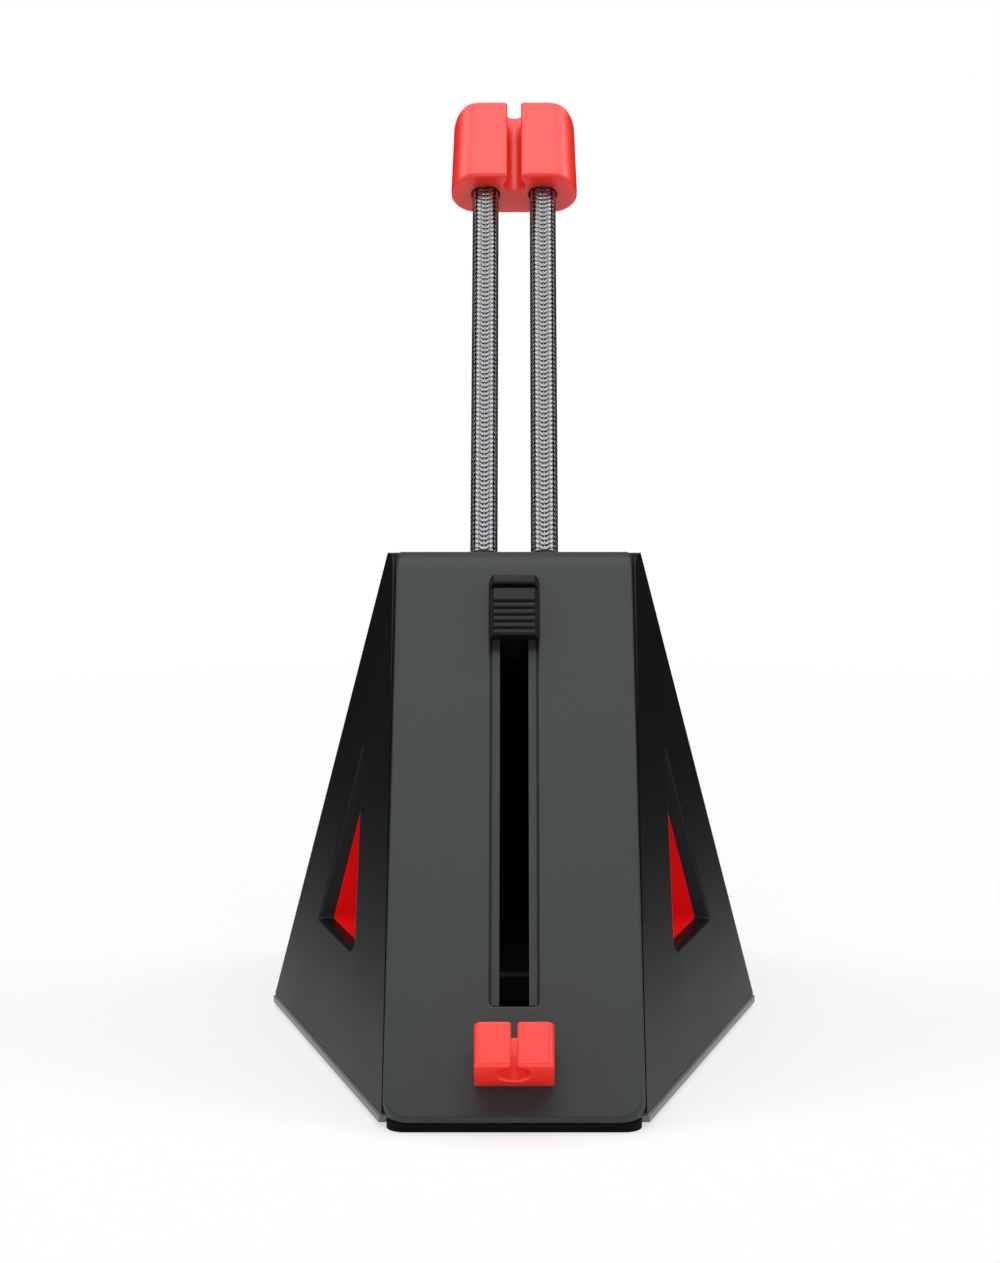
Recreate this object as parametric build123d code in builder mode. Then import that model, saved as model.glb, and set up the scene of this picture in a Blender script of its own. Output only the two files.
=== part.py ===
"""Mouse bungee: a weighted wedge with two sprung arms that slide up its slope and hold a mouse cable.

Millimetres. +Z is up, the origin is the middle of the foot on the table, and the sloping cover faces -Y.
Slope coordinates: x across, a = distance up the slope from the cover's foot, d = depth behind its face.
"""
import os
from math import cos, radians, sin, sqrt

from build123d import *

os.makedirs("parts", exist_ok=True)

# Foot outline
front_y = -46.75
mid_y = 12.55
rear_y = 46.75
mid_half = 34.85
foot_half = 16.5
rear_half = 24.0

# Slope and top of the housing
slope_deg = 50.0
foot_z = 2.0
top_a = 87.7
top_radius = 5.0
top_depth = 15.0
rear_radius = 4.0

# Cover over the slope
panel_half_low = 17.05
panel_half_high = 16.6
panel_thick = 2.2
panel_proud = 0.8
panel_corner = 3.2
panel_edge = 0.7
panel_low_a = -0.4
panel_gap = 0.25
lip_width = 0.3
panel_skin = 0.7
pocket_over = 8.0

# Slot in the cover; its upper end is measured down from the top of the housing
slot_width = 3.97
slot_corner = 0.25
slot_low = 15.9
slot_top_gap = 7.4
rim_width = 6.66
rim_edge = 0.3
rim_corner = 0.6
rim_depth = 0.6
groove_width = 0.3
groove_depth = 0.5
rim_low = 15.75
rim_top_gap = 6.8
panel_cut_z = 1.24
slot_clear = 0.6

# Housing walls
wall = 1.9
seat_gap = 0.1
through = 0.2
top_wall = 2.6
shell_low_z = 1.8
ridge_radius = 0.8
ridge_x = 18.55

# Side windows, seen from the side
window_rear_y = 1.0
window_front_y = -17.0
window_low_z = 16.1
window_high_z = 40.4
window_corner = 0.6
window_edge = 0.55
liner_wall = 1.2
liner_floor_x = 11.6

# Floor, pad and weight
plate_low_z = 0.5
plate_high_z = 1.6
plate_proud = 0.2
plate_front_y = -43.8
plate_edge = 0.25
lip_z = 3.2
lip_inset = 3.4
lip_front_y = -33.0
pad_inset = 3.6
pad_sink = 0.5
pad_gap = 0.2
pad_clear = 0.8
bridge_inset = 3.0
bridge_bite = 1.0
toe_y = -46.5
toe_z = 1.16
toe_half = 16.6
toe_back_y = -44.0
toe_round = 2.4
ballast_w = 36.0
ballast_l = 52.0
ballast_h = 9.0
ballast_y = 12.0
ballast_corner = 2.0
ballast_edge = 0.5
ballast_hole = 5.5
ballast_screw_y = 15.0

# Arms
arm_od = 4.05
arm_half = 4.35
arm_depth = 7.7
core_od = 3.0
core_id = 1.6
fit = 0.05
run = 0.3
arm_reach = 66.4
ferrule_od = 4.7
ferrule_len = 9.0
bush_od = 6.0
bush_flange_od = 7.4
bush_flange = 0.8
bush_edge = 0.3
ferrule_back = 0.5
arm_end_gap = 0.2

# Slider; its rest place is measured down from the top of the housing
thumb_w = 6.9
thumb_len = 9.7
thumb_top_gap = 7.0
thumb_lip = 1.65
thumb_tall = 2.0
thumb_under = -0.2
thumb_draft = 0.6
thumb_side = 1.5
rib_pitch = 1.08
rib_half = 0.38
rib_deep = 0.36
rib_count = 5
neck_w = 3.3
neck_len = 7.1
neck_inset = 1.0
neck_into = 2.8
carriage_half = 8.4
carriage_len = 13.7
carriage_top_gap = 3.4
carriage_wall = 3.5
carriage_edge = 0.6
ferrule_over = 1.0
head_inset = 0.1
brake_wall = 0.45
brake_sink = 0.5
brake_w = 3.2
brake_len = 8.8
brake_x = 5.3
brake_lift = 2.2
brake_gap = 0.1
rail_w = 1.6
rail_lip = 1.2
rail_low = 13.0
rail_hook = 1.8
rail_bite = 0.3

# Top clip
clip_w_near = 19.2
clip_w_far = 18.4
clip_len = 14.0
clip_thick = 9.6
clip_round = 4.2
clip_corner = 2.8
clip_edge = 0.5
channel_r = 1.5
channel_sink = 2.45
clip_slot = 2.1
clip_slot_edge = 0.55
clip_nib = 0.7
clip_mouth_r = 2.25
mouth_len = 2.0

# Lower clip
low_clip_w = 10.4
low_clip_len = 6.25
low_clip_tall = 7.0
low_clip_a = 4.3
low_clip_round = 1.0
low_clip_edge = 0.38
low_channel_r = 2.2
low_channel_floor = 1.8
low_clip_slot = 0.8
low_slot_edge = 0.42
low_clip_nib = 0.44
peg_r = 2.0
peg_a = 8.0

# Screws
screw_r = 1.2
screw_head_r = 2.4
screw_head = 1.3
small_r = 0.8
small_head_r = 1.6
small_head = 1.1
boss_r = 3.0
boss_front_y = -32.5
boss_front_inset = 7.71
boss_rear = (22.0, 31.0)
boss_reach = 12.0
boss_tall = 40.0
head_gap = 0.2
head_sink = 0.25
shank_gap = 0.15
housing_screw_len = 10.5
ballast_screw_len = 6.0
cross_len = 2.4
cross_w = 0.6
cross_deep = 0.5
washer_r = 3.0
washer_h = 0.5
tip_gap = 0.2
panel_screw_x = 12.6
panel_screw_low = 30.0
panel_screw_gap = 11.7
panel_tip_gap = 0.8
thumb_screw_in = 1.8
thumb_screw_hole = 5.5
thumb_screw_tip = 2.2

co = cos(radians(slope_deg))
si = sin(radians(slope_deg))
rear_top_y = front_y + top_a * co + top_depth * si
rear_top_z = foot_z + top_a * si - top_depth * co
rear_cot = (rear_y - rear_top_y) / (rear_top_z - shell_low_z)
high_half = panel_half_high + panel_gap + lip_width
front_run = (mid_half - foot_half) / (mid_y - front_y)
boss_front = (mid_half - (mid_y - boss_front_y) * front_run - boss_front_inset, boss_front_y)
pocket_floor = panel_thick + seat_gap
slot_high = top_a - slot_top_gap
rim_high = top_a - rim_top_gap
thumb_high = top_a - thumb_top_gap
thumb_low = thumb_high - thumb_len
neck_low = thumb_low + neck_inset
neck_high = neck_low + neck_len
carriage_high = top_a - carriage_top_gap
carriage_low = carriage_high - carriage_len
carriage_front = arm_depth - ferrule_od / 2 - brake_wall - brake_sink
carriage_back = arm_depth + carriage_wall
neck_depth = carriage_front + neck_into
brake_spots = [(sign * brake_x, carriage_low + brake_len / 2 + brake_lift) for sign in (1, -1)]
front_wall = carriage_front - run - pocket_floor
clip_a = top_a + arm_reach
inner_front = pocket_floor + front_wall
inner_top = top_a - top_wall

slope = Plane(origin=(0, front_y, foot_z), x_dir=(1, 0, 0), z_dir=(0, -si, co))


def side(a, d):
    """(y, z) of the point a up the slope and d behind the cover's face."""
    return (front_y + a * co + d * si, foot_z + a * si - d * co)


def across(a):
    """Plane square to the slope at a: its x is X, its y is the depth d, its normal points up the slope."""
    y, z = side(a, 0)
    return Plane(origin=(0, y, z), x_dir=(1, 0, 0), z_dir=(0, co, si))


def deep(d):
    """Plane parallel to the cover, d behind its face: its x is X, its y is a, its normal points outwards."""
    return slope.offset(-d)


def side_outline(front_d, high_a, inset, low_z):
    """Corners of the housing in the side view: the front at depth front_d, the rear moved in by inset."""
    low_a = (low_z - foot_z + front_d * co) / si
    low_rear = rear_y - inset * sqrt(1 + rear_cot**2) - (low_z - shell_low_z) * rear_cot
    y0, z0 = side(high_a, 0)
    reach = (low_rear - y0 - (z0 - low_z) * rear_cot) / (si - co * rear_cot)
    return [side(low_a, front_d), side(high_a, front_d), side(high_a, reach), (low_rear, low_z)]


def facet_planes(inset):
    """Four side planes of the housing, normals outwards, moved in by inset."""
    planes = []
    y_high, z_high = side(top_a - top_radius, panel_proud)
    ridge_y = y_high + (ridge_x - high_half) / front_run
    for sign in (1, -1):
        front = Vector(sign * foot_half, front_y, shell_low_z)
        middle = Vector(sign * mid_half, mid_y, shell_low_z)
        high = Vector(sign * high_half, y_high, z_high)
        ridge = Vector(sign * ridge_x, ridge_y, z_high)
        rear = Vector(sign * rear_half, rear_y, shell_low_z)
        for first, second, third in ((front, middle, high), (middle, rear, ridge)):
            normal = (second - first).cross(third - first) * sign
            planes.append(Plane(origin=first, z_dir=normal).offset(-inset))
    return planes


def housing_block(front_d, high_a, inset, low_z, rounded):
    """Solid with the housing's faceted form."""
    with BuildPart() as block:
        with BuildSketch(Plane.YZ) as outline:
            with BuildLine():
                Polyline(*side_outline(front_d, high_a, inset, low_z), close=True)
            make_face()
            if rounded:
                high = outline.vertices().sort_by(Axis.Y)
                fillet(high[-1], radius=top_radius - front_d)
                fillet(high[-2], radius=rear_radius)
        extrude(amount=mid_half + 5, both=True)
        for plane in facet_planes(inset):
            split(bisect_by=plane, keep=Keep.BOTTOM)
    return block.part


def foot_outline(inset, near_y):
    """Corners of the six-sided foot, moved in by inset, with its front edge at near_y."""
    rear_run = (mid_half - rear_half) / (rear_y - mid_y)
    near = mid_half - (mid_y - near_y) * front_run - inset * sqrt(1 + front_run**2)
    far = rear_half - inset * (sqrt(1 + rear_run**2) - rear_run)
    middle = mid_half - inset * sqrt(1 + front_run**2)
    half = [(near, near_y), (middle, mid_y), (far, rear_y - inset)]
    return half + [(-x, y) for x, y in reversed(half)]


outer_block = housing_block(panel_proud, top_a, 0, shell_low_z, True)
inner_block = housing_block(inner_front, inner_top, wall, shell_low_z - 1, False)
boss_block = housing_block(inner_front - front_wall / 2, inner_top, wall / 2, lip_z + seat_gap, False)
bosses = [(sign * x, y) for x, y in (boss_front, boss_rear) for sign in (1, -1)]
window = [(window_rear_y, window_low_z), (window_rear_y, window_high_z), (window_front_y, window_low_z)]
panel_screw_spots = [
    (sign * panel_screw_x, a) for sign in (1, -1) for a in (panel_screw_low, top_a - panel_screw_gap)
]

facets = facet_planes(0)


def on_window_rim(edge):
    """True for an edge of a window that lies on the outside of a facet."""
    spot = edge.center()
    near = window_front_y - 1 < spot.Y < window_rear_y + 1 and window_low_z - 1 < spot.Z < window_high_z + 1
    return near and any(abs((spot - f.origin).dot(f.z_dir)) < 0.01 for f in facets)


# Screw bosses, cut off where they run into the walls
with BuildPart() as boss_posts:
    with BuildSketch(Plane.XY.offset(lip_z + seat_gap)):
        with Locations(*bosses):
            Circle(boss_r)
    extrude(amount=boss_tall)
    add(boss_block, mode=Mode.INTERSECT)

# Guide rails behind the front wall
with BuildPart() as rails:
    with BuildSketch(across(rail_low)):
        rail_x = carriage_half + run + rail_w / 2
        rail_front = inner_front - rail_bite
        rail_back = carriage_back + run + rail_lip
        for sign in (1, -1):
            with Locations((sign * rail_x, (rail_front + rail_back) / 2)):
                Rectangle(rail_w, rail_back - rail_front)
            with Locations((sign * (rail_x - rail_hook / 2), rail_back - rail_lip / 2)):
                Rectangle(rail_w + rail_hook, rail_lip)
    extrude(amount=inner_top + rail_bite - rail_low)

with BuildPart() as main_shell:
    add(outer_block)
    ridge_low = 5 * foot_z
    ridge_high = 0.72 * rear_top_z
    ridges = main_shell.edges().filter_by(
        lambda e: abs(e.center().X) > ridge_x + 0.5 and ridge_low < e.center().Z < ridge_high
    )
    fillet(ridges, radius=ridge_radius)
    add(inner_block, mode=Mode.SUBTRACT)
    add(boss_posts.part)
    add(rails.part)
    with BuildSketch(slope):
        low = panel_half_low + panel_gap
        high = panel_half_high + panel_gap
        with BuildLine():
            Polyline(
                (-low, -pocket_over),
                (low, -pocket_over),
                (high, top_a + pocket_over),
                (-high, top_a + pocket_over),
                close=True,
            )
        make_face()
    extrude(amount=-pocket_floor, mode=Mode.SUBTRACT)
    with BuildSketch(deep(pocket_floor)):
        with Locations((0, (slot_low + slot_high) / 2)):
            Rectangle(slot_width + 2 * slot_clear, slot_high - slot_low + 4 * slot_clear)
    extrude(amount=-front_wall - through, mode=Mode.SUBTRACT)
    with BuildSketch(Plane.YZ) as opening:
        with BuildLine():
            Polyline(*window, close=True)
        make_face()
        fillet(opening.vertices().group_by(Axis.Y)[0], radius=window_corner)
    extrude(amount=mid_half + 5, both=True, mode=Mode.SUBTRACT)
    window_rims = main_shell.edges().filter_by(on_window_rim)
    fillet(window_rims, radius=window_edge)
    with BuildSketch(across(top_a + through)):
        with Locations((arm_half, arm_depth), (-arm_half, arm_depth)):
            Circle(bush_od / 2 + fit)
    extrude(amount=-top_wall - 2 * through, mode=Mode.SUBTRACT)
    with BuildSketch(Plane.XY.offset(lip_z)):
        with Locations(*bosses):
            Circle(screw_r + fit)
    extrude(amount=boss_reach, mode=Mode.SUBTRACT)
    with BuildSketch(deep(pocket_floor)):
        with Locations((0, peg_a)):
            Circle(peg_r + fit)
        with Locations(*panel_screw_spots):
            Circle(small_r + fit)
    extrude(amount=-front_wall - through, mode=Mode.SUBTRACT)
main_shell.part.label = "main_shell"
export_step(main_shell.part, "parts/main_shell.step")

with BuildPart() as front_panel:
    with BuildSketch(slope) as sheet:
        with BuildLine():
            Polyline(
                (-panel_half_low, panel_low_a),
                (panel_half_low, panel_low_a),
                (panel_half_high, top_a + 2),
                (-panel_half_high, top_a + 2),
                close=True,
            )
        make_face()
        fillet(sheet.vertices().group_by(Axis.Y)[0], radius=panel_corner)
    extrude(amount=-panel_thick)
    with BuildSketch(Plane.YZ) as profile:
        deepest = 2 * top_radius
        with BuildLine():
            Polyline(
                side(-deepest, 0),
                side(top_a, 0),
                side(top_a, deepest),
                side(-deepest, deepest),
                close=True,
            )
        make_face()
        fillet(profile.vertices().sort_by(Axis.Y)[-1], radius=top_radius)
    extrude(amount=panel_half_low + 5, both=True, mode=Mode.INTERSECT)
    face_edges = front_panel.faces().sort_by(Axis((0, 0, 0), (0, -si, co)))[-1].edges()
    fillet(face_edges.sort_by(Axis.Z)[:-1], radius=panel_edge)
    with BuildSketch(slope):
        with Locations((0, (rim_low + rim_high) / 2)):
            RectangleRounded(rim_width, rim_high - rim_low, rim_corner)
    extrude(amount=-rim_depth, mode=Mode.SUBTRACT)
    rim_edges = front_panel.faces().sort_by(Axis((0, 0, 0), (0, -si, co)))[-1].inner_wires()[0].edges()
    fillet(rim_edges, radius=rim_edge)
    with BuildSketch(deep(rim_depth)):
        with Locations((0, (rim_low + rim_high) / 2)):
            RectangleRounded(rim_width, rim_high - rim_low, rim_corner)
            Rectangle(rim_width - 2 * groove_width, rim_high - rim_low - 2 * groove_width, mode=Mode.SUBTRACT)
    extrude(amount=-groove_depth, mode=Mode.SUBTRACT)
    with BuildSketch(slope):
        with Locations((0, (slot_low + slot_high) / 2)):
            RectangleRounded(slot_width, slot_high - slot_low, slot_corner)
        with Locations((0, peg_a)):
            Circle(peg_r + fit)
    extrude(amount=-panel_thick, mode=Mode.SUBTRACT)
    with BuildSketch(deep(panel_thick)):
        with Locations(*panel_screw_spots):
            Circle(small_r + fit)
    extrude(amount=panel_thick - panel_skin, mode=Mode.SUBTRACT)
    split(bisect_by=Plane.XY.offset(panel_cut_z), keep=Keep.TOP)
front_panel.part.label = "front_panel"
export_step(front_panel.part, "parts/front_panel.step")

ballast_spots = [(0, ballast_y - ballast_screw_y), (0, ballast_y + ballast_screw_y)]

with BuildPart() as base_plate:
    with BuildSketch(Plane.XY.offset(plate_low_z)):
        with BuildLine():
            Polyline(*foot_outline(-plate_proud, plate_front_y), close=True)
        make_face()
    extrude(amount=plate_high_z - plate_low_z)
    chamfer(base_plate.faces().sort_by(Axis.Z)[-1].edges(), length=plate_edge)
    with BuildSketch(Plane.XY.offset(plate_high_z)):
        with BuildLine():
            Polyline(*foot_outline(lip_inset, lip_front_y), close=True)
        make_face()
        with Locations((boss_front[0], boss_front[1]), (-boss_front[0], boss_front[1])):
            Circle(boss_r)
    extrude(amount=lip_z - plate_high_z)
    with BuildSketch(Plane.XY.offset(plate_low_z)):
        with BuildLine():
            Polyline(*foot_outline(pad_inset, plate_front_y + pad_inset), close=True)
        make_face()
    extrude(amount=pad_sink, mode=Mode.SUBTRACT)
    with BuildSketch(Plane.XY.offset(plate_low_z)):
        with Locations(*bosses):
            Circle(screw_head_r + head_gap)
        with Locations(*ballast_spots):
            Circle(screw_head_r + head_gap)
    extrude(amount=screw_head + head_sink, mode=Mode.SUBTRACT)
    with BuildSketch(Plane.XY.offset(plate_low_z)):
        with Locations(*bosses):
            Circle(screw_r + shank_gap)
        with Locations(*ballast_spots):
            Circle(screw_r + shank_gap)
    extrude(amount=lip_z, mode=Mode.SUBTRACT)
base_plate.part.label = "base_plate"
export_step(base_plate.part, "parts/base_plate.step")

with BuildPart() as non_slip_pad:
    with BuildSketch(Plane.XY):
        with BuildLine():
            Polyline(*foot_outline(pad_inset + pad_gap, plate_front_y + pad_inset + pad_gap), close=True)
        make_face()
        with Locations(*bosses):
            Circle(screw_head_r + pad_clear, mode=Mode.SUBTRACT)
    extrude(amount=plate_low_z + pad_sink)
    with BuildSketch(Plane.XY):
        bridge_y = plate_front_y + pad_inset + bridge_bite
        with Locations((0, (toe_back_y + bridge_y) / 2)):
            Rectangle(2 * (toe_half - bridge_inset), bridge_y - toe_back_y)
    extrude(amount=plate_low_z - fit)
    with BuildSketch(Plane.XY) as toe:
        with Locations((0, (toe_y + toe_back_y) / 2)):
            Rectangle(2 * toe_half, toe_back_y - toe_y)
        fillet(toe.vertices().group_by(Axis.Y)[0], radius=toe_round)
    extrude(amount=toe_z)
non_slip_pad.part.label = "non_slip_pad"
export_step(non_slip_pad.part, "parts/non_slip_pad.step")

with BuildPart() as ballast_plate:
    with BuildSketch(Plane.XY.offset(lip_z)):
        with Locations((0, ballast_y)):
            RectangleRounded(ballast_w, ballast_l, ballast_corner)
    extrude(amount=ballast_h)
    chamfer(ballast_plate.faces().sort_by(Axis.Z)[-1].edges(), length=ballast_edge)
    with BuildSketch(Plane.XY.offset(lip_z)):
        with Locations(*ballast_spots):
            Circle(screw_r + fit)
    extrude(amount=ballast_hole, mode=Mode.SUBTRACT)
ballast_plate.part.label = "ballast_plate"
export_step(ballast_plate.part, "parts/ballast_plate.step")

head_low_z = plate_low_z + pad_sink + fit
head_high_z = plate_low_z + screw_head + head_sink

with BuildPart() as housing_screws:
    with BuildSketch(Plane.XY.offset(head_low_z)):
        with Locations(*bosses):
            Circle(screw_head_r)
    extrude(amount=head_high_z - head_low_z)
    with BuildSketch(Plane.XY.offset(head_high_z)):
        with Locations(*bosses):
            Circle(screw_r)
    extrude(amount=housing_screw_len)
    with BuildSketch(Plane.XY.offset(head_low_z)):
        with Locations(*bosses):
            Rectangle(cross_len, cross_w)
            Rectangle(cross_w, cross_len)
    extrude(amount=cross_deep, mode=Mode.SUBTRACT)
housing_screws.part.label = "housing_screws"
export_step(housing_screws.part, "parts/housing_screws.step")

with BuildPart() as ballast_screws:
    with BuildSketch(Plane.XY.offset(head_low_z)):
        with Locations(*ballast_spots):
            Circle(screw_head_r)
    extrude(amount=head_high_z - head_low_z)
    with BuildSketch(Plane.XY.offset(head_high_z)):
        with Locations(*ballast_spots):
            Circle(screw_r)
    extrude(amount=ballast_screw_len)
    with BuildSketch(Plane.XY.offset(head_low_z)):
        with Locations(*ballast_spots):
            Rectangle(cross_len, cross_w)
            Rectangle(cross_w, cross_len)
    extrude(amount=cross_deep, mode=Mode.SUBTRACT)
ballast_screws.part.label = "ballast_screws"
export_step(ballast_screws.part, "parts/ballast_screws.step")

# Red pockets behind the windows, their mouths lying on the inside of the facets
for sign, name in ((-1, "window_liner_left"), (1, "window_liner_right")):
    with BuildPart() as liner:
        with BuildSketch(Plane.YZ.offset(sign * liner_floor_x)):
            with BuildLine():
                Polyline(*window, close=True)
            make_face()
            offset(amount=liner_wall, kind=Kind.INTERSECTION)
        extrude(amount=sign * mid_half)
        with BuildSketch(Plane.YZ.offset(sign * (liner_floor_x + liner_wall))) as opening:
            with BuildLine():
                Polyline(*window, close=True)
            make_face()
            fillet(opening.vertices().group_by(Axis.Y)[0], radius=window_corner)
        extrude(amount=sign * mid_half, mode=Mode.SUBTRACT)
        for plane in facet_planes(wall):
            if plane.z_dir.X * sign > 0:
                split(bisect_by=plane, keep=Keep.BOTTOM)
    liner.part.label = name
    export_step(liner.part, "parts/" + name + ".step")

with BuildPart() as lower_clip:
    middle = -low_channel_floor - low_channel_r
    with BuildSketch(across(low_clip_a)) as block:
        with Locations((0, -low_clip_tall / 2)):
            Rectangle(low_clip_w, low_clip_tall)
        with Locations((0, middle)):
            Circle(low_channel_r, mode=Mode.SUBTRACT)
        with Locations((0, (middle - low_clip_tall) / 2)):
            Rectangle(low_clip_slot, low_clip_tall + middle, mode=Mode.SUBTRACT)
        lips = block.vertices().filter_by(lambda v: abs(abs(v.X) - low_clip_slot / 2) < 0.01)
        fillet(lips.group_by(Axis.Y)[0], radius=low_slot_edge)
        nibs = block.vertices().filter_by(lambda v: abs(abs(v.X) - low_clip_slot / 2) < 0.01)
        fillet(nibs.group_by(Axis.Y)[-1], radius=low_clip_nib)
        outer = block.vertices().filter_by(lambda v: abs(v.X) > low_clip_w / 2 - 0.01)
        fillet(outer.group_by(Axis.Y)[0], radius=low_clip_round)
    extrude(amount=low_clip_len)
    ends = lower_clip.faces().sort_by(Axis((0, 0, 0), (0, co, si)))
    fillet(ends[0].edges() + ends[-1].edges(), radius=low_clip_edge)
    with BuildSketch(slope):
        with Locations((0, peg_a)):
            Circle(peg_r)
    extrude(amount=-inner_front)
    with BuildSketch(deep(inner_front)):
        with Locations((0, peg_a)):
            Circle(small_r + fit)
    extrude(amount=inner_front, mode=Mode.SUBTRACT)
lower_clip.part.label = "lower_clip"
export_step(lower_clip.part, "parts/lower_clip.step")

with BuildPart() as lower_clip_screw:
    with BuildSketch(deep(inner_front)):
        with Locations((0, peg_a)):
            Circle(washer_r)
    extrude(amount=-washer_h)
    with BuildSketch(deep(inner_front + washer_h)):
        with Locations((0, peg_a)):
            Circle(small_head_r)
    extrude(amount=-small_head)
    with BuildSketch(deep(inner_front)):
        with Locations((0, peg_a)):
            Circle(small_r)
    extrude(amount=inner_front - tip_gap)
lower_clip_screw.part.label = "lower_clip_screw"
export_step(lower_clip_screw.part, "parts/lower_clip_screw.step")

with BuildPart() as panel_screws:
    with BuildSketch(deep(inner_front)):
        with Locations(*panel_screw_spots):
            Circle(small_head_r)
    extrude(amount=-small_head)
    with BuildSketch(deep(inner_front)):
        with Locations(*panel_screw_spots):
            Circle(small_r)
    extrude(amount=inner_front - panel_tip_gap)
panel_screws.part.label = "panel_screws"
export_step(panel_screws.part, "parts/panel_screws.step")

for sign, name in ((-1, "arm_bush_left"), (1, "arm_bush_right")):
    with BuildPart() as bush:
        with BuildSketch(across(top_a)):
            with Locations((sign * arm_half, arm_depth)):
                Circle(bush_flange_od / 2)
        extrude(amount=bush_flange)
        chamfer(bush.faces().sort_by(Axis.Z)[-1:].edges(), length=bush_edge)
        with BuildSketch(across(top_a)):
            with Locations((sign * arm_half, arm_depth)):
                Circle(bush_od / 2)
        extrude(amount=-top_wall)
        with BuildSketch(across(top_a + bush_flange)):
            with Locations((sign * arm_half, arm_depth)):
                Circle(arm_od / 2 + run)
        extrude(amount=-top_wall - bush_flange, mode=Mode.SUBTRACT)
    bush.part.label = name
    export_step(bush.part, "parts/" + name + ".step")

# Slider: thumb outside, carriage inside
thumb_face = -thumb_tall
gap_high = thumb_high - thumb_lip

with BuildPart() as slider_thumb:
    with BuildSketch(Plane.YZ):
        with BuildLine():
            Polyline(
                side(thumb_low, thumb_under),
                side(thumb_low, thumb_face + 0.35),
                side(thumb_low + 0.25, thumb_face),
                side(gap_high - 0.8, thumb_face),
                side(gap_high - 0.55, thumb_face + 0.15),
                side(gap_high - 0.5, thumb_face + 1.3),
                side(gap_high, thumb_face + 1.3),
                side(gap_high + 0.1, thumb_face + 0.1),
                side(gap_high + 0.4, thumb_face),
                side(thumb_high - 0.25, thumb_face),
                side(thumb_high, thumb_face + 0.4),
                side(thumb_high, thumb_under),
                close=True,
            )
        make_face()
    extrude(amount=thumb_w / 2, both=True)
    with BuildSketch(Plane.YZ):
        for i in range(rib_count):
            a = thumb_low + neck_inset + i * rib_pitch
            top = thumb_face - 0.1
            with BuildLine():
                Polyline(
                    side(a - rib_half, top),
                    side(a, thumb_face + rib_deep),
                    side(a + rib_half, top),
                    close=True,
                )
            make_face()
    extrude(amount=thumb_w, both=True, mode=Mode.SUBTRACT)
    with BuildSketch(across(thumb_low - 1)):
        half = thumb_w / 2
        with BuildLine():
            Polyline(
                (-half, thumb_under),
                (-half, thumb_face + thumb_side),
                (-half + thumb_draft, thumb_face - 0.01),
                (half - thumb_draft, thumb_face - 0.01),
                (half, thumb_face + thumb_side),
                (half, thumb_under),
                close=True,
            )
        make_face()
    extrude(amount=thumb_len + 2, mode=Mode.INTERSECT)
    with BuildSketch(deep(thumb_under)):
        with Locations((0, (neck_low + neck_high) / 2)):
            Rectangle(neck_w, neck_high - neck_low)
    extrude(amount=-(neck_depth - thumb_under))
    with BuildSketch(deep(neck_depth)):
        with Locations((0, neck_low + thumb_screw_in), (0, neck_high - thumb_screw_in)):
            Circle(small_r + fit)
    extrude(amount=thumb_screw_hole, mode=Mode.SUBTRACT)
slider_thumb.part.label = "slider_thumb"
export_step(slider_thumb.part, "parts/slider_thumb.step")

with BuildPart() as slide_carriage:
    with BuildSketch(across(carriage_low)):
        with Locations((0, (carriage_front + carriage_back) / 2)):
            Rectangle(2 * carriage_half, carriage_back - carriage_front)
    extrude(amount=carriage_high - carriage_low)
    chamfer(slide_carriage.edges().filter_by(Axis((0, 0, 0), (0, co, si))), length=carriage_edge)
    with BuildSketch(across(carriage_high)):
        with Locations((arm_half, arm_depth), (-arm_half, arm_depth)):
            Circle(ferrule_od / 2 + fit)
    extrude(amount=-ferrule_len - ferrule_over, mode=Mode.SUBTRACT)
    with BuildSketch(deep(carriage_front)):
        with Locations((0, (neck_low + neck_high) / 2)):
            Rectangle(neck_w + 2 * fit, neck_high - neck_low + 2 * fit)
    extrude(amount=-(neck_depth - carriage_front), mode=Mode.SUBTRACT)
    with BuildSketch(deep(carriage_back)):
        with Locations((0, neck_low + thumb_screw_in), (0, neck_high - thumb_screw_in)):
            Circle(small_r + fit)
    extrude(amount=carriage_back - neck_depth, mode=Mode.SUBTRACT)
    with BuildSketch(deep(carriage_back)):
        with Locations((0, neck_low + thumb_screw_in), (0, neck_high - thumb_screw_in)):
            Circle(small_head_r + head_inset)
    extrude(amount=small_head + head_inset, mode=Mode.SUBTRACT)
    with BuildSketch(deep(carriage_front)):
        with Locations(*brake_spots):
            Rectangle(brake_w + 2 * brake_gap, brake_len + 2 * brake_gap)
    extrude(amount=-brake_sink, mode=Mode.SUBTRACT)
slide_carriage.part.label = "slide_carriage"
export_step(slide_carriage.part, "parts/slide_carriage.step")

with BuildPart() as brake_pads:
    with BuildSketch(deep(carriage_front + brake_sink)):
        with Locations(*brake_spots):
            Rectangle(brake_w, brake_len)
    extrude(amount=brake_sink + run - fit)
brake_pads.part.label = "brake_pads"
export_step(brake_pads.part, "parts/brake_pads.step")

with BuildPart() as thumb_screws:
    with BuildSketch(deep(carriage_back - head_inset)):
        with Locations((0, neck_low + thumb_screw_in), (0, neck_high - thumb_screw_in)):
            Circle(small_head_r)
    extrude(amount=small_head)
    shank_low = carriage_back - small_head - head_inset
    with BuildSketch(deep(shank_low)):
        with Locations((0, neck_low + thumb_screw_in), (0, neck_high - thumb_screw_in)):
            Circle(small_r)
    extrude(amount=shank_low - thumb_screw_tip)
thumb_screws.part.label = "thumb_screws"
export_step(thumb_screws.part, "parts/thumb_screws.step")

# Arms: a close-wound spring in a braided sleeve, with a crimped ferrule at each end
arm_low = carriage_high - ferrule_len
upper_low = clip_a + mouth_len
arm_high = upper_low + ferrule_len - arm_end_gap

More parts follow.
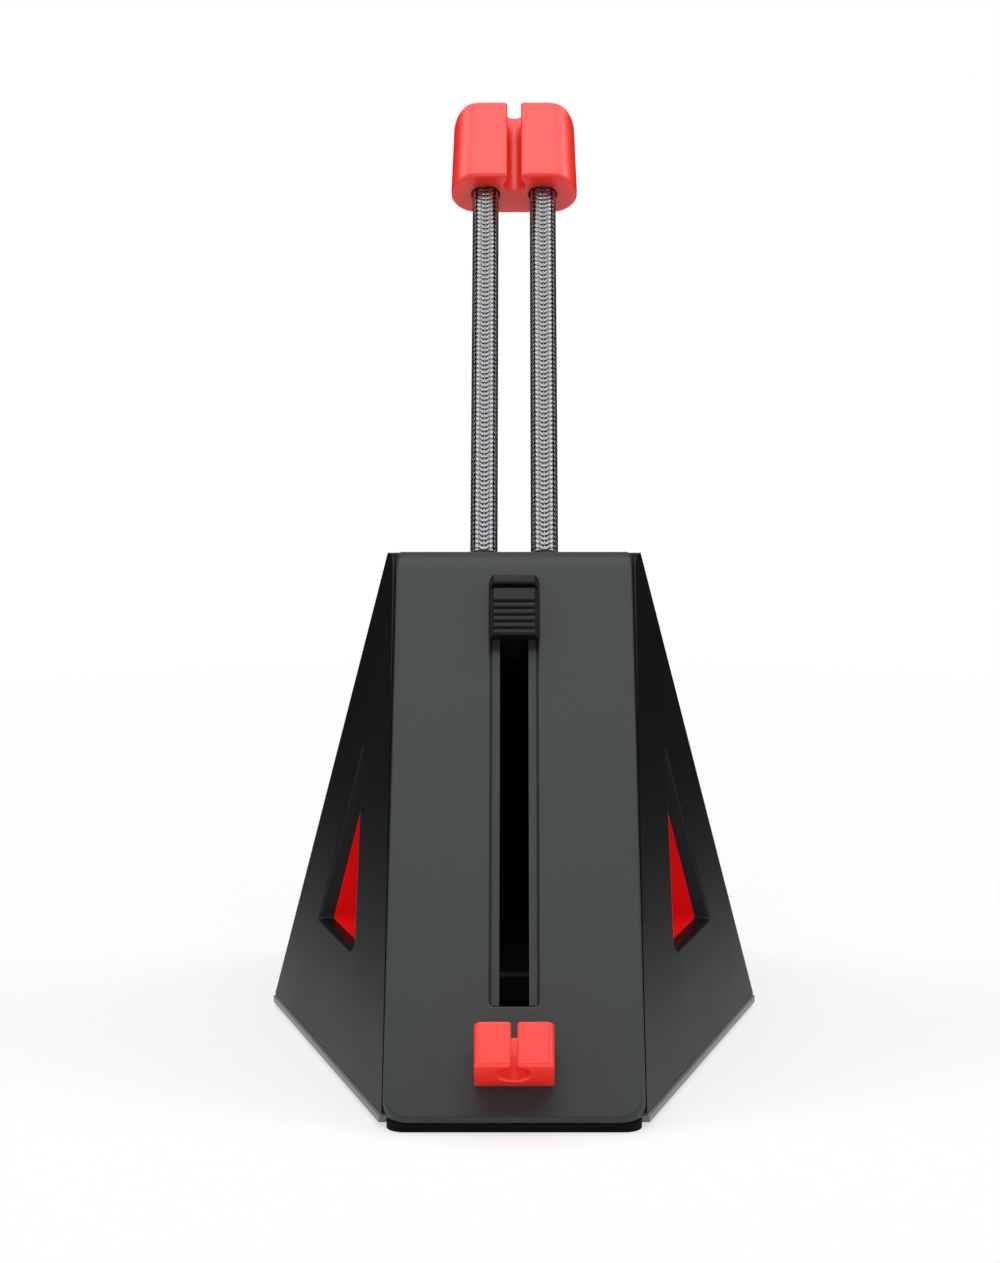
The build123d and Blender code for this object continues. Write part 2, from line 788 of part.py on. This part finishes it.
for sign, hand in ((-1, "left"), (1, "right")):
    with BuildPart() as core:
        with BuildSketch(across(arm_low)):
            with Locations((sign * arm_half, arm_depth)):
                Circle(core_od / 2)
                Circle(core_id / 2, mode=Mode.SUBTRACT)
        extrude(amount=arm_high - arm_low)
    core.part.label = "arm_core_" + hand
    export_step(core.part, "parts/arm_core_" + hand + ".step")

    with BuildPart() as sleeve:
        with BuildSketch(across(arm_low)):
            with Locations((sign * arm_half, arm_depth)):
                Circle(arm_od / 2)
                Circle(core_od / 2 + fit, mode=Mode.SUBTRACT)
        extrude(amount=arm_high - arm_low)
    sleeve.part.label = "arm_sleeve_" + hand
    export_step(sleeve.part, "parts/arm_sleeve_" + hand + ".step")

    with BuildPart() as ferrule:
        with BuildSketch(across(arm_low)):
            with Locations((sign * arm_half, arm_depth)):
                Circle(ferrule_od / 2)
                Circle(arm_od / 2 + fit / 2, mode=Mode.SUBTRACT)
        extrude(amount=ferrule_len - ferrule_back)
    ferrule.part.label = "lower_ferrule_" + hand
    export_step(ferrule.part, "parts/lower_ferrule_" + hand + ".step")

    with BuildPart() as cap:
        with BuildSketch(across(upper_low)):
            with Locations((sign * arm_half, arm_depth)):
                Circle(ferrule_od / 2)
                Circle(arm_od / 2 + fit / 2, mode=Mode.SUBTRACT)
        extrude(amount=ferrule_len)
    cap.part.label = "upper_ferrule_" + hand
    export_step(cap.part, "parts/upper_ferrule_" + hand + ".step")

clip_face = arm_depth - clip_thick / 2

with BuildPart() as top_clip:
    with BuildSketch(across(clip_a)):
        with Locations((0, arm_depth)):
            RectangleRounded(clip_w_near, clip_thick, clip_round)
    with BuildSketch(across(clip_a + clip_len)):
        with Locations((0, arm_depth)):
            RectangleRounded(clip_w_far, clip_thick, clip_round)
    loft()
    with BuildSketch(deep(clip_face - 1)) as corners:
        with Locations((0, clip_a + clip_len - clip_corner / 2)):
            Rectangle(clip_w_near + 2, clip_corner)
        with BuildSketch(deep(clip_face - 1), mode=Mode.SUBTRACT) as outline:
            near = clip_w_near / 2
            far = clip_w_far / 2
            with BuildLine():
                Polyline(
                    (-near, clip_a),
                    (near, clip_a),
                    (far, clip_a + clip_len),
                    (-far, clip_a + clip_len),
                    close=True,
                )
            make_face()
            fillet(outline.vertices().group_by(Axis.Y)[-1], radius=clip_corner)
    extrude(amount=-clip_thick - 2, mode=Mode.SUBTRACT)
    with BuildSketch(across(clip_a)) as keyhole:
        middle = clip_face + channel_sink
        with Locations((0, middle)):
            Circle(channel_r)
        with Locations((0, clip_face)):
            Rectangle(clip_slot, 2 * channel_sink)
        nibs = keyhole.vertices().filter_by(lambda v: abs(abs(v.X) - clip_slot / 2) < 0.01)
        fillet(nibs.group_by(Axis.Y)[-1], radius=clip_nib)
        lip = clip_slot / 2 + clip_slot_edge
        with Locations((0, clip_face)):
            Rectangle(2 * lip, 2 * clip_slot_edge)
        with Locations((lip, clip_face + clip_slot_edge), (-lip, clip_face + clip_slot_edge)):
            Circle(clip_slot_edge, mode=Mode.SUBTRACT)
    extrude(amount=clip_len, mode=Mode.SUBTRACT)
    ends = top_clip.faces().sort_by(Axis((0, 0, 0), (0, co, si)))
    fillet(ends[0].edges(), radius=clip_edge)
    with BuildSketch(across(clip_a)):
        with Locations((arm_half, arm_depth), (-arm_half, arm_depth)):
            Circle(clip_mouth_r)
    extrude(amount=mouth_len, mode=Mode.SUBTRACT)
    with BuildSketch(across(upper_low)):
        with Locations((arm_half, arm_depth), (-arm_half, arm_depth)):
            Circle(ferrule_od / 2 + fit)
    extrude(amount=ferrule_len + fit, mode=Mode.SUBTRACT)
top_clip.part.label = "top_clip"
export_step(top_clip.part, "parts/top_clip.step")
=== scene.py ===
from math import cos, pi, radians, sin

import bpy
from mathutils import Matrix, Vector


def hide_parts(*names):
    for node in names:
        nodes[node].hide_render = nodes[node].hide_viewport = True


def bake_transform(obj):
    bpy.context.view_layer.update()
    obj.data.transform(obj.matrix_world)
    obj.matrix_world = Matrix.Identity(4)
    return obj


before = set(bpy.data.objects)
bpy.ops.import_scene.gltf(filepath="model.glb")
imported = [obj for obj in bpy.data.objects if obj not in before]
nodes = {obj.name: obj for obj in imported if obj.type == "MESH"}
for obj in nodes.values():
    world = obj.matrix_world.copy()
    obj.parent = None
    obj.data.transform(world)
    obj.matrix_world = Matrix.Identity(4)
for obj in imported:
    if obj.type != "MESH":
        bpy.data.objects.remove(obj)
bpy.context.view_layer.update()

# Sizes that the pieces below share with the solids, in metres.
# The arms run up the slope, square to the housing's top.
MM = 0.001
SLOPE = radians(50)
FOOT = Vector((0, -46.75, 2.0)) * MM
UP_SLOPE = Vector((0, cos(SLOPE), sin(SLOPE)))
OUT = Vector((0, -sin(SLOPE), cos(SLOPE)))
ARM_APART = 4.35 * MM
ARM_DEPTH = 7.7 * MM
ARM_LOW = 75.3 * MM
ARM_LENGTH = 89.6 * MM
HANDS = ((-1, "left"), (1, "right"))


def on_slope(along, depth):
    """Point in the middle plane, so far up the slope and so deep behind the cover's face."""
    return FOOT + UP_SLOPE * along - OUT * depth


# Materials. Noise values lie mostly between these two.
NOISE_LOW = 0.3
NOISE_HIGH = 0.7


def linear(code):
    """sRGB hex to the linear colour that shaders take."""
    parts = [int(code[i : i + 2], 16) / 255 for i in (1, 3, 5)]
    return tuple(c / 12.92 if c <= 0.04045 else ((c + 0.055) / 1.055) ** 2.4 for c in parts) + (1.0,)


def node(tree, kind, settings=None, **sockets):
    """Adds a shader node. A socket takes a value or another node's output.

    Underscores in a socket's name stand for spaces.
    """
    made = tree.nodes.new("ShaderNode" + kind)
    for name, value in (settings or {}).items():
        setattr(made, name, value)
    for name, value in sockets.items():
        name = name.replace("_", " ")
        socket = next(s for s in made.inputs if s.name == name and s.enabled)
        if isinstance(value, bpy.types.NodeSocket):
            tree.links.new(value, socket)
        else:
            socket.default_value = value
    return made


def new_material(name):
    """A material with its Principled shader, its tree and Object coordinates."""
    made = bpy.data.materials.new(name)
    made.use_nodes = True
    tree = made.node_tree
    return made, tree, tree.nodes["Principled BSDF"], tree.nodes.new("ShaderNodeTexCoord").outputs["Object"]


def noise(tree, place, size_mm, detail, roughness):
    """Noise whose patches are about size_mm across."""
    made = node(tree, "TexNoise", Vector=place, Scale=1 / (size_mm * MM), Detail=detail, Roughness=roughness)
    return made.outputs["Fac"]


def two_tones(tree, shader, factor, dark, light):
    """Lets the base colour vary between two tones."""
    tone = node(tree, "Mix", {"data_type": "RGBA"}, Factor=factor, A=linear(dark), B=linear(light))
    tree.links.new(tone.outputs[2], shader.inputs["Base Color"])


def uneven_gloss(tree, shader, factor, smoothest, roughest):
    """Lets the roughness vary between two values."""
    gloss = node(tree, "MapRange", Value=factor, From_Min=NOISE_LOW, From_Max=NOISE_HIGH,
                 To_Min=smoothest, To_Max=roughest)
    tree.links.new(gloss.outputs["Result"], shader.inputs["Roughness"])


def relief(tree, shader, height, strength, depth_mm):
    """Makes the surface uneven by up to depth_mm."""
    bump = node(tree, "Bump", Height=height, Strength=strength, Distance=depth_mm * MM)
    tree.links.new(bump.outputs["Normal"], shader.inputs["Normal"])


def moulded_abs(name, dark, light, rough, grain_mm, relief_mm, mottle_mm, gloss):
    """Moulded plastic: a spark-eroded mould leaves an even grain, so the sheen is broad and slightly uneven.

    Real grain is nearer 0.1 mm, too fine to show, so it is drawn as coarse as it needs to be to show.
    """
    made, tree, shader, place = new_material(name)
    mottle = noise(tree, place, mottle_mm, detail=3.0, roughness=0.6)
    two_tones(tree, shader, mottle, dark, light)
    uneven_gloss(tree, shader, mottle, rough - 0.02, rough + 0.02)
    grain = noise(tree, place, grain_mm, detail=2.0, roughness=0.5)
    relief(tree, shader, grain, strength=0.6, depth_mm=relief_mm)
    shader.inputs["IOR"].default_value = 1.54
    shader.inputs["Specular IOR Level"].default_value = gloss
    return made


def soft_silicone(name, deep, lit):
    """Moulded silicone rubber: a satin skin that lets some light in, which comes out red."""
    made, tree, shader, place = new_material(name)
    two_tones(tree, shader, noise(tree, place, 3.0, detail=4.0, roughness=0.55), deep, lit)
    skin = noise(tree, place, 0.22, detail=2.0, roughness=0.5)
    relief(tree, shader, skin, strength=0.3, depth_mm=0.01)
    shader.inputs["Roughness"].default_value = 0.38
    shader.inputs["IOR"].default_value = 1.5
    shader.inputs["Specular IOR Level"].default_value = 0.75
    shader.inputs["Subsurface Weight"].default_value = 0.8
    shader.inputs["Subsurface Scale"].default_value = 3.0 * MM
    shader.inputs["Subsurface Radius"].default_value = (1.0, 0.15, 0.12)
    return made


def bare_metal(name, dark, bright, rough, scuff_mm):
    """Drawn, cut or cast metal: scuffs make the tone and the glints uneven."""
    made, tree, shader, place = new_material(name)
    scuff = noise(tree, place, scuff_mm, detail=3.0, roughness=0.6)
    two_tones(tree, shader, scuff, dark, bright)
    uneven_gloss(tree, shader, scuff, rough - 0.06, rough + 0.08)
    shader.inputs["Metallic"].default_value = 1.0
    return made


def pressed_felt(name, dark, light):
    """Pressed wool felt: a fuzzy mat of fibres."""
    made, tree, shader, place = new_material(name)
    fuzz = noise(tree, place, 0.3, detail=5.0, roughness=0.7)
    two_tones(tree, shader, fuzz, dark, light)
    relief(tree, shader, fuzz, strength=0.8, depth_mm=0.1)
    shader.inputs["Roughness"].default_value = 0.95
    shader.inputs["Sheen Weight"].default_value = 0.4
    return made


panel_abs = moulded_abs("panel ABS, spark-eroded grain", "#2c3031", "#323637",
                        rough=0.5, grain_mm=0.45, relief_mm=0.03, mottle_mm=9.0, gloss=0.3)
shell_abs = moulded_abs("shell ABS, satin black", "#0c0d0e", "#111213",
                        rough=0.4, grain_mm=0.35, relief_mm=0.003, mottle_mm=12.0, gloss=0.13)
base_abs = moulded_abs("base ABS, satin grey", "#606264", "#6c6e70",
                       rough=0.4, grain_mm=0.4, relief_mm=0.01, mottle_mm=8.0, gloss=0.5)
thumb_abs = moulded_abs("thumb ABS, satin black", "#0b0d0e", "#101314",
                        rough=0.45, grain_mm=0.3, relief_mm=0.004, mottle_mm=3.0, gloss=0.22)
acetal = moulded_abs("acetal, smooth black", "#070708", "#0b0b0c",
                     rough=0.4, grain_mm=0.5, relief_mm=0.006, mottle_mm=5.0, gloss=0.15)
liner_abs = moulded_abs("liner ABS, satin red", "#e20207", "#ea050a",
                        rough=0.75, grain_mm=0.4, relief_mm=0.01, mottle_mm=8.0, gloss=0.1)
# The pad's black toe shows below the cover's lower edge. Its black is partly the rubber's own colour and
# partly painted shade, standing in for the shade under that edge.
pad_rubber_and_shade = moulded_abs("pad rubber, matt black, and painted shade at the toe", "#060606", "#0b0b0b",
                         rough=0.85, grain_mm=0.6, relief_mm=0.05, mottle_mm=6.0, gloss=0.1)
clip_silicone = soft_silicone("clip silicone, red", "#f42a1c", "#fa3224")
braid_steel = bare_metal("braid wire, stainless", "#717274", "#848587", rough=0.24, scuff_mm=0.9)
spring_steel = bare_metal("spring wire, hard drawn", "#5a5a5b", "#6d6d6e", rough=0.4, scuff_mm=1.2)
screw_steel = bare_metal("screw steel, zinc plated", "#8d8f92", "#a7a9ab", rough=0.32, scuff_mm=1.5)
ferrule_steel = bare_metal("ferrule tube, crimped steel", "#97999b", "#b0b2b4", rough=0.3, scuff_mm=2.0)
ballast_iron = bare_metal("ballast iron, rough cast", "#3a3a3b", "#4b4b4c", rough=0.65, scuff_mm=1.8)
pad_felt = pressed_felt("brake felt, grey", "#3b3b3c", "#565657")

finishes = {
    panel_abs: ["front_panel"],
    shell_abs: ["main_shell"],
    base_abs: ["base_plate"],
    thumb_abs: ["slider_thumb"],
    acetal: ["slide_carriage", "arm_bush_left", "arm_bush_right"],
    liner_abs: ["window_liner_left", "window_liner_right"],
    pad_rubber_and_shade: ["non_slip_pad"],
    clip_silicone: ["top_clip", "lower_clip"],
    screw_steel: ["ballast_screws", "housing_screws", "lower_clip_screw", "panel_screws", "thumb_screws"],
    ferrule_steel: ["lower_ferrule_left", "lower_ferrule_right", "upper_ferrule_left", "upper_ferrule_right"],
    ballast_iron: ["ballast_plate"],
    pad_felt: ["brake_pads"],
}
for made, names in finishes.items():
    for name in names:
        nodes[name].data.materials.clear()
        nodes[name].data.materials.append(made)


def start():
    """Nothing selected, object mode."""
    if bpy.context.object and bpy.context.object.mode != "OBJECT":
        bpy.ops.object.mode_set(mode="OBJECT")
    bpy.ops.object.select_all(action="DESELECT")


def take(piece):
    """Selects one piece alone and makes it active."""
    start()
    piece.select_set(True)
    bpy.context.view_layer.objects.active = piece


def apply_modifiers(piece):
    """Applies all modifiers of a piece in their order."""
    take(piece)
    for name in [m.name for m in piece.modifiers]:
        bpy.ops.object.modifier_apply(modifier=name)


def stand_on_arm(piece, side):
    """Turns a piece made along +Z into the arm's direction and moves it to that arm, all in its mesh."""
    take(piece)
    piece.rotation_euler = (SLOPE - pi / 2, 0, 0)
    piece.location = on_slope(ARM_LOW, ARM_DEPTH) + Vector((side * ARM_APART, 0, 0))
    bpy.ops.object.transform_apply(location=True, rotation=True, scale=True)


# Braid: wire bundles cross the sleeve at an angle in columns, and two columns meet in a valley at the front.
# The inner layer runs a little past the rows of bundles at both ends.
BRAID_ANGLE = radians(39)
BRAID_COLUMNS = 8
BRAID_PITCH = 0.78 * MM
BRAID_RADIUS = 1.965 * MM
BUNDLE_HALF = 0.38 * MM
BUNDLE_THICK = 0.05 * MM
BUNDLE_SIDES = 8
BUNDLE_RINGS = 6
ROWS_SHORTER = 2 * MM
SLEEVE_INSET = 1.4 * MM
LAYER_RADIUS = 1.8 * MM
LAYER_WALL = 0.2 * MM
LAYER_OVERRUN = 0.4 * MM
LAYER_SIDES = 32
LAYER_STEPS = 60


def inner_layer():
    """Closed tube under the bundles: the wires that cross them from beneath, packed close."""
    start()
    low = SLEEVE_INSET - LAYER_OVERRUN
    bpy.ops.mesh.primitive_circle_add(vertices=LAYER_SIDES, radius=LAYER_RADIUS, fill_type="NOTHING",
                                      location=(0, 0, low))
    layer = bpy.context.object
    bpy.ops.object.transform_apply(location=True)
    rise = layer.modifiers.new("rise", "SCREW")
    rise.angle = 0
    rise.screw_offset = ARM_LENGTH - 2 * low
    rise.steps = LAYER_STEPS
    rise.render_steps = LAYER_STEPS
    apply_modifiers(layer)
    bpy.ops.object.mode_set(mode="EDIT")
    bpy.ops.mesh.select_all(action="SELECT")
    bpy.ops.mesh.normals_make_consistent(inside=False)
    bpy.ops.object.mode_set(mode="OBJECT")
    wall = layer.modifiers.new("wall", "SOLIDIFY")
    wall.thickness = LAYER_WALL
    wall.offset = -1
    apply_modifiers(layer)
    return layer


def repeat(piece, name, step, count):
    """Adds copies of a piece's mesh, each one a step further."""
    copies = piece.modifiers.new(name, "ARRAY")
    copies.use_relative_offset = False
    copies.use_constant_offset = True
    copies.constant_offset_displace = step
    copies.count = count


def braided_sleeve(name, side):
    """One sleeve: a bundle, its mirror image, the rows, the other pairs of columns.

    The flat sheet is then rolled into a tube and joined with the inner layer.
    """
    column = 2 * pi * BRAID_RADIUS / BRAID_COLUMNS
    # A bundle's outline is an ellipse, just long enough to span its column at the braid's angle.
    half_length = ((column / 2) ** 2 - (BUNDLE_HALF * sin(BRAID_ANGLE)) ** 2) ** 0.5 / cos(BRAID_ANGLE)
    start()
    halves = []
    for turn in (1, -1):
        bpy.ops.mesh.primitive_uv_sphere_add(segments=BUNDLE_SIDES, ring_count=BUNDLE_RINGS, radius=1,
                                             rotation=(0, pi / 2, 0))
        bundle = bpy.context.object
        bpy.ops.object.transform_apply(rotation=True)
        bundle.scale = (half_length, BUNDLE_THICK, BUNDLE_HALF)
        bpy.ops.object.transform_apply(scale=True)
        bundle.rotation_euler = (0, turn * BRAID_ANGLE, 0)
        bundle.location = (turn * column / 2, 0, 0)
        bpy.ops.object.transform_apply(location=True, rotation=True)
        halves.append(bundle)
    for half in halves:
        half.select_set(True)
    bpy.ops.object.join()
    sleeve = bpy.context.object
    sleeve.name = name
    repeat(sleeve, "rows", (0, 0, BRAID_PITCH), int((ARM_LENGTH - ROWS_SHORTER) / BRAID_PITCH))
    repeat(sleeve, "columns", (2 * column, 0, 0), BRAID_COLUMNS // 2)
    apply_modifiers(sleeve)
    sleeve.location = (column - BRAID_COLUMNS / 2 * column, 0, SLEEVE_INSET)
    bpy.ops.object.transform_apply(location=True)
    roll = sleeve.modifiers.new("roll", "SIMPLE_DEFORM")
    roll.deform_method = "BEND"
    roll.deform_axis = "Z"
    roll.angle = 2 * pi
    apply_modifiers(sleeve)
    sleeve.location = (0, -BRAID_RADIUS, 0)
    bpy.ops.object.transform_apply(location=True)
    layer = inner_layer()
    take(sleeve)
    layer.select_set(True)
    bpy.ops.object.join()
    bpy.ops.object.shade_smooth()
    stand_on_arm(sleeve, side)
    sleeve.data.materials.append(braid_steel)
    return sleeve


# Spring: round wire, wound with hardly a gap between its turns.
CORE_RADIUS = 1.5 * MM
WIRE_RADIUS = 0.33 * MM
WIRE_SIDES = 6
TURN_PITCH = 2.02 * WIRE_RADIUS
TURN_STEPS = 12
MERGE_WITHIN = 0.0001 * MM


def wound_core(name, side):
    """Close-wound spring inside a sleeve: a wire ring swept up a screw line, with closed ends."""
    start()
    bpy.ops.mesh.primitive_circle_add(vertices=WIRE_SIDES, radius=WIRE_RADIUS, fill_type="NOTHING",
                                      location=(CORE_RADIUS - WIRE_RADIUS, 0, WIRE_RADIUS),
                                      rotation=(pi / 2, 0, 0))
    core = bpy.context.object
    core.name = name
    bpy.ops.object.transform_apply(location=True, rotation=True)
    turns = core.modifiers.new("turns", "SCREW")
    turns.axis = "Z"
    turns.screw_offset = TURN_PITCH
    turns.iterations = int((ARM_LENGTH - 2 * WIRE_RADIUS) / turns.screw_offset)
    turns.steps = TURN_STEPS
    turns.render_steps = TURN_STEPS
    turns.use_merge_vertices = True
    apply_modifiers(core)
    bpy.ops.object.mode_set(mode="EDIT")
    bpy.ops.mesh.select_all(action="SELECT")
    bpy.ops.mesh.remove_doubles(threshold=MERGE_WITHIN)
    bpy.ops.mesh.select_all(action="DESELECT")
    bpy.ops.mesh.select_non_manifold()
    bpy.ops.mesh.edge_face_add()
    bpy.ops.mesh.select_all(action="SELECT")
    bpy.ops.mesh.normals_make_consistent(inside=False)
    bpy.ops.object.mode_set(mode="OBJECT")
    bpy.ops.object.shade_smooth()
    stand_on_arm(core, side)
    core.data.materials.append(spring_steel)
    return core


for side, hand in HANDS:
    sleeve = braided_sleeve("braided_sleeve_" + hand, side)
    core = wound_core("wound_core_" + hand, side)
    for piece, solid, finish in ((sleeve, "arm_sleeve_", "braid_steel"), (core, "arm_core_", "spring_steel")):
        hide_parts(solid + hand)
        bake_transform(piece)

# Studio, in metres: white paper lies under the object and curves up behind it. It is narrower in front.
PAPER_SIZE = (0.5, 1.5, 1)
PAPER_MIDDLE = 0.45
PAPER_BELOW = 0.1 * MM
PAPER_FRONT_SHARE = 0.14
PAPER_RISE = (0, 0.1, 0.6)
PAPER_BACK = 1.0
PAPER_FLAT = 0.01
PAPER_CURVE = 0.3
PAPER_CURVE_STEPS = 16
# Share of the paper's own light near the object. It rises to all of it between these two distances.
PAPER_GLOW = 0.6
GLOW_NEAR = 0.1
GLOW_FAR = 0.3
# Light from the dim walls of the room. The camera sees them white.
WALL_LIGHT = 0.02


def choose_edges(mesh, wanted):
    """In edit mode, selects the edges whose ends all satisfy wanted."""
    bpy.ops.mesh.select_mode(type="EDGE")
    bpy.ops.mesh.select_all(action="DESELECT")
    bpy.ops.object.mode_set(mode="OBJECT")
    for edge in mesh.edges:
        edge.select = all(wanted(mesh.vertices[i].co) for i in edge.vertices)
    bpy.ops.object.mode_set(mode="EDIT")


start()
bpy.ops.mesh.primitive_plane_add(size=1)
sweep = bpy.context.object
sweep.name = "paper_sweep"
sweep.scale = PAPER_SIZE
sweep.location = (0, PAPER_MIDDLE, -PAPER_BELOW)
bpy.ops.object.transform_apply(location=True, scale=True)
bpy.ops.object.mode_set(mode="EDIT")
choose_edges(sweep.data, lambda co: co.y < 0)
bpy.ops.transform.resize(value=(PAPER_FRONT_SHARE, 1, 1))
choose_edges(sweep.data, lambda co: co.y > PAPER_BACK)
bpy.ops.mesh.extrude_region_move(TRANSFORM_OT_translate={"value": PAPER_RISE})
choose_edges(sweep.data, lambda co: co.y > PAPER_BACK and co.z < PAPER_FLAT)
bpy.ops.mesh.bevel(offset=PAPER_CURVE, segments=PAPER_CURVE_STEPS)
bpy.ops.object.mode_set(mode="OBJECT")
bpy.ops.object.shade_smooth()

paper, tree, shader, place = new_material("paper, matt white")
two_tones(tree, shader, noise(tree, place, 4.0, detail=3.0, roughness=0.5), "#ededed", "#f1f1f1")
shader.inputs["Roughness"].default_value = 0.9
shader.inputs["Specular IOR Level"].default_value = 0.2
# Overexposed paper: to the camera and in reflections it gives its own light, less so where the shadow lies.
rays = node(tree, "LightPath").outputs
seen = node(tree, "Math", {"operation": "MAXIMUM"})
tree.links.new(rays["Is Camera Ray"], seen.inputs[0])
tree.links.new(rays["Is Glossy Ray"], seen.inputs[1])
shown = node(tree, "Math", {"operation": "MAXIMUM"})
tree.links.new(seen.outputs[0], shown.inputs[0])
tree.links.new(rays["Is Transmission Ray"], shown.inputs[1])
away = node(tree, "VectorMath", {"operation": "LENGTH"})
tree.links.new(place, away.inputs[0])
fade = node(tree, "MapRange", Value=away.outputs["Value"], From_Min=GLOW_NEAR, From_Max=GLOW_FAR,
            To_Min=PAPER_GLOW, To_Max=1.0)
share = node(tree, "Math", {"operation": "MULTIPLY"})
tree.links.new(shown.outputs[0], share.inputs[0])
tree.links.new(fade.outputs["Result"], share.inputs[1])
glow = node(tree, "Emission", Strength=1.0)
both = node(tree, "MixShader")
tree.links.new(share.outputs[0], both.inputs[0])
tree.links.new(shader.outputs[0], both.inputs[1])
tree.links.new(glow.outputs[0], both.inputs[2])
tree.links.new(both.outputs[0], tree.nodes["Material Output"].inputs["Surface"])
sweep.data.materials.append(paper)

world = bpy.data.worlds.new("studio")
bpy.context.scene.world = world
world.use_nodes = True
tree = world.node_tree
rays = node(tree, "LightPath").outputs
walls = node(tree, "MapRange", Value=rays["Is Camera Ray"], To_Min=WALL_LIGHT, To_Max=1.0)
tree.nodes["Background"].inputs["Color"].default_value = (1, 1, 1, 1)
tree.links.new(walls.outputs["Result"], tree.nodes["Background"].inputs["Strength"])


def soft_light(name, place, aim, size, power):
    """A studio softbox at place, facing aim, in metres and watts."""
    lamp = bpy.data.lights.new(name, "AREA")
    lamp.shape = "RECTANGLE"
    lamp.size, lamp.size_y = size
    lamp.energy = power
    holder = bpy.data.objects.new(name, lamp)
    bpy.context.scene.collection.objects.link(holder)
    holder.location = place
    holder.rotation_euler = (Vector(aim) - Vector(place)).to_track_quat("-Z", "Y").to_euler()


# The strip shows as the sheen on the slope, the overhead softbox and the banks as the light on the arms.
# The low lights reach the side facets and their windows, and the front fill the faces towards the camera.
soft_light("overhead softbox", place=(0, 0.16, 0.95), aim=(0, 0.1, 0.05), size=(1.2, 0.8), power=6.2)
soft_light("strip softbox", place=(0, -0.33, 0.95), aim=(0, 0, 0.06), size=(1.0, 0.22), power=2.8)
for side, hand in HANDS:
    soft_light(hand + " bank", place=(side * 0.74, 0.117, 0.664), aim=(0, 0.05, 0.12),
               size=(0.45, 0.45), power=2.6)
    soft_light(hand + " low light", place=(side * 0.55, -0.22, 0.05), aim=(0, 0.03, 0.08),
               size=(0.5, 0.4), power=1.3)
soft_light("front fill", place=(0, -1.15, 0.1), aim=(0, 0, 0.05), size=(0.9, 0.5), power=3.5)

# Camera, fitted to the photo: height, focal length and shift in the photo's pixels, the sensor in millimetres
PHOTO_HEIGHT = 1263
FOCAL_LENGTH = 3500
SHIFT = -14.2
SENSOR = 36

camera = bpy.data.cameras.new("photo camera")
camera.lens = FOCAL_LENGTH / PHOTO_HEIGHT * SENSOR
camera.sensor_width = SENSOR
camera.shift_x = SHIFT / PHOTO_HEIGHT
viewer = bpy.data.objects.new("photo camera", camera)
viewer.location = (0, -0.4806, 0.14226)
viewer.rotation_euler = (radians(80), 0, 0)
bpy.context.scene.collection.objects.link(viewer)
bpy.context.scene.camera = viewer
bpy.context.scene.view_settings.view_transform = "Standard"
